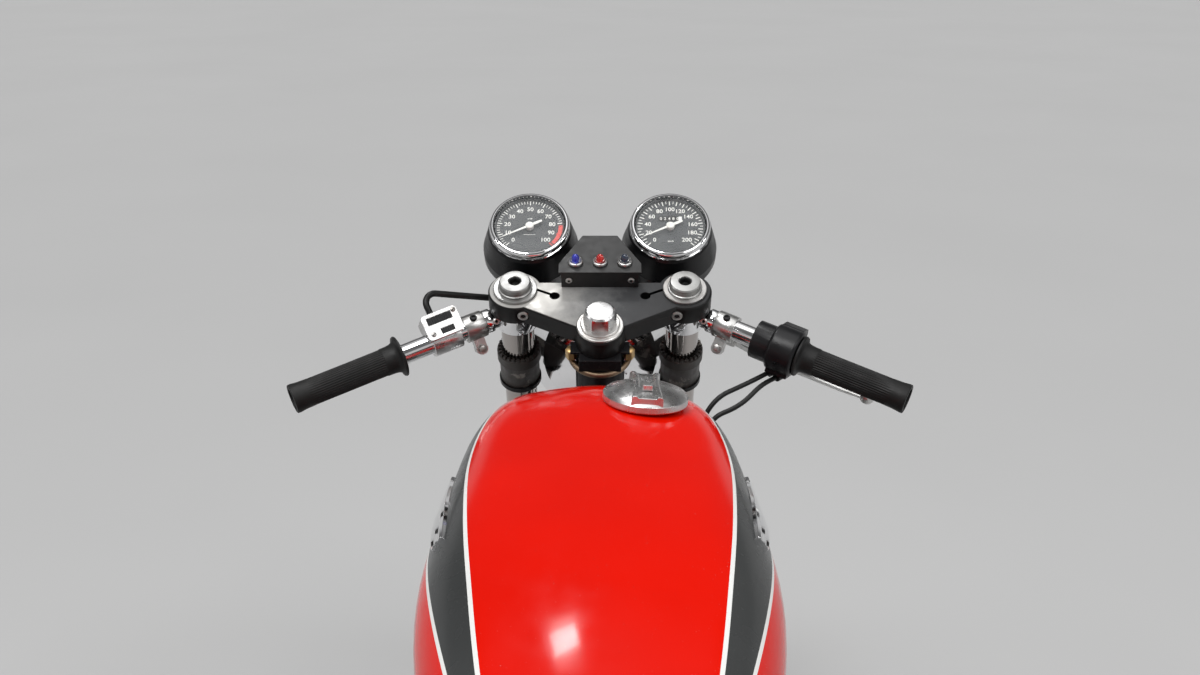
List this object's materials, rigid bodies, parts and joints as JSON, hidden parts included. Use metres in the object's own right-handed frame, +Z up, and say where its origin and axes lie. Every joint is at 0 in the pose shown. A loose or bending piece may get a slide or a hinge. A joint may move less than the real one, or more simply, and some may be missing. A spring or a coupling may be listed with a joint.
{
  "type": "cafe racer motorcycle",
  "caption": "Road motorcycle in cafe racer style with a V-twin engine, wire wheels, drum brakes and clip-on bars, standing on its centre stand.",
  "frame": {"origin": "on the floor under the middle of the overall length and width, as it stands on its centre stand", "axes": "+X forward, +Y to the rider's left, +Z up"},
  "size_m": [2.0529, 0.643, 1.0071],
  "materials": {
    "tank_red": "gloss",
    "frame_black": "gloss",
    "yoke_black": "satin",
    "chrome": "polished",
    "polished_alloy": "polished",
    "cast_alloy": "satin",
    "steel": "zinc plated",
    "chain_steel": "oiled",
    "grip_rubber": "matte",
    "tyre_black": "matte",
    "cable_black": "satin",
    "seat_vinyl": "satin vinyl",
    "black_plastic": "satin",
    "dial_black": "matte",
    "glass_clear": "clear",
    "lamp_red": "gloss",
    "lamp_blue": "gloss"
  },
  "bodies": {
    "chassis": {"carburettors": "cast_alloy", "crankcase": "cast_alloy", "drive_chain": "chain_steel", "drive_sprocket": "steel", "engine_covers": "polished_alloy", "filler_cap": "chrome", "footrests": "steel", "frame": "frame_black", "front_cylinder": "cast_alloy", "front_exhaust": "chrome", "fuel_tank": "tank_red", "pivot_bolt": "steel", "rear_axle": "steel", "rear_brake_plate": "polished_alloy", "rear_cylinder": "cast_alloy", "rear_exhaust": "chrome", "rear_mudguard": "chrome", "seat_pad": "seat_vinyl", "seat_tail": "tank_red", "shock_absorbers": "chrome", "side_covers": "tank_red", "swingarm": "frame_black", "tail_lamp": "lamp_red"},
    "steering": {"top_yoke": "yoke_black", "stem_nut": "chrome", "lower_yoke": "yoke_black", "fork_caps": "polished_alloy", "fork_stanchions": "chrome", "fork_sliders": "polished_alloy", "headlamp_brackets": "yoke_black", "headlamp_shell": "chrome", "headlamp_glass": "glass_clear", "clip_ons": "chrome", "grips": "grip_rubber", "levers": "polished_alloy", "switch_box": "chrome", "throttle_housing": "black_plastic", "dial_cups": "black_plastic", "dial_bezels": "chrome", "dial_faces": "dial_black", "dial_glasses": "glass_clear", "warning_panel": "yoke_black", "lamp_rings": "chrome", "lamp_domes": "lamp_blue", "front_mudguard": "chrome", "front_brake_plates": "polished_alloy", "front_axle": "steel", "switch_lead": "cable_black", "throttle_cable_front": "cable_black", "throttle_cable_rear": "cable_black"},
    "front_wheel": {"front_tyre": "tyre_black", "front_wheel": "polished_alloy"},
    "rear_wheel": {"rear_tyre": "tyre_black", "rear_wheel": "polished_alloy"},
    "centre_stand": {"centre_stand": "frame_black"}
  },
  "joints": [
    {"name": "steering_head", "type": "hinge", "parent": "chassis", "child": "steering", "pos_m": [0.66649, 0, 0.28603], "axis": [-0.454, 0, 0.891], "range_deg": [-24, 24], "deforming": ["throttle_cable_front", "throttle_cable_rear"]},
    {"name": "front_wheel_spin", "type": "hinge", "parent": "steering", "child": "front_wheel", "pos_m": [0.7155, 0, 0.311], "axis": [0, 1, 0], "continuous": true},
    {"name": "rear_wheel_spin", "type": "hinge", "parent": "chassis", "child": "rear_wheel", "pos_m": [-0.6745, 0, 0.347], "axis": [0, 1, 0], "continuous": true},
    {"name": "centre_stand_fold", "type": "hinge", "parent": "chassis", "child": "centre_stand", "pos_m": [-0.118, 0, 0.176], "axis": [0, 1, 0], "range_deg": [0, 78]}
  ]
}
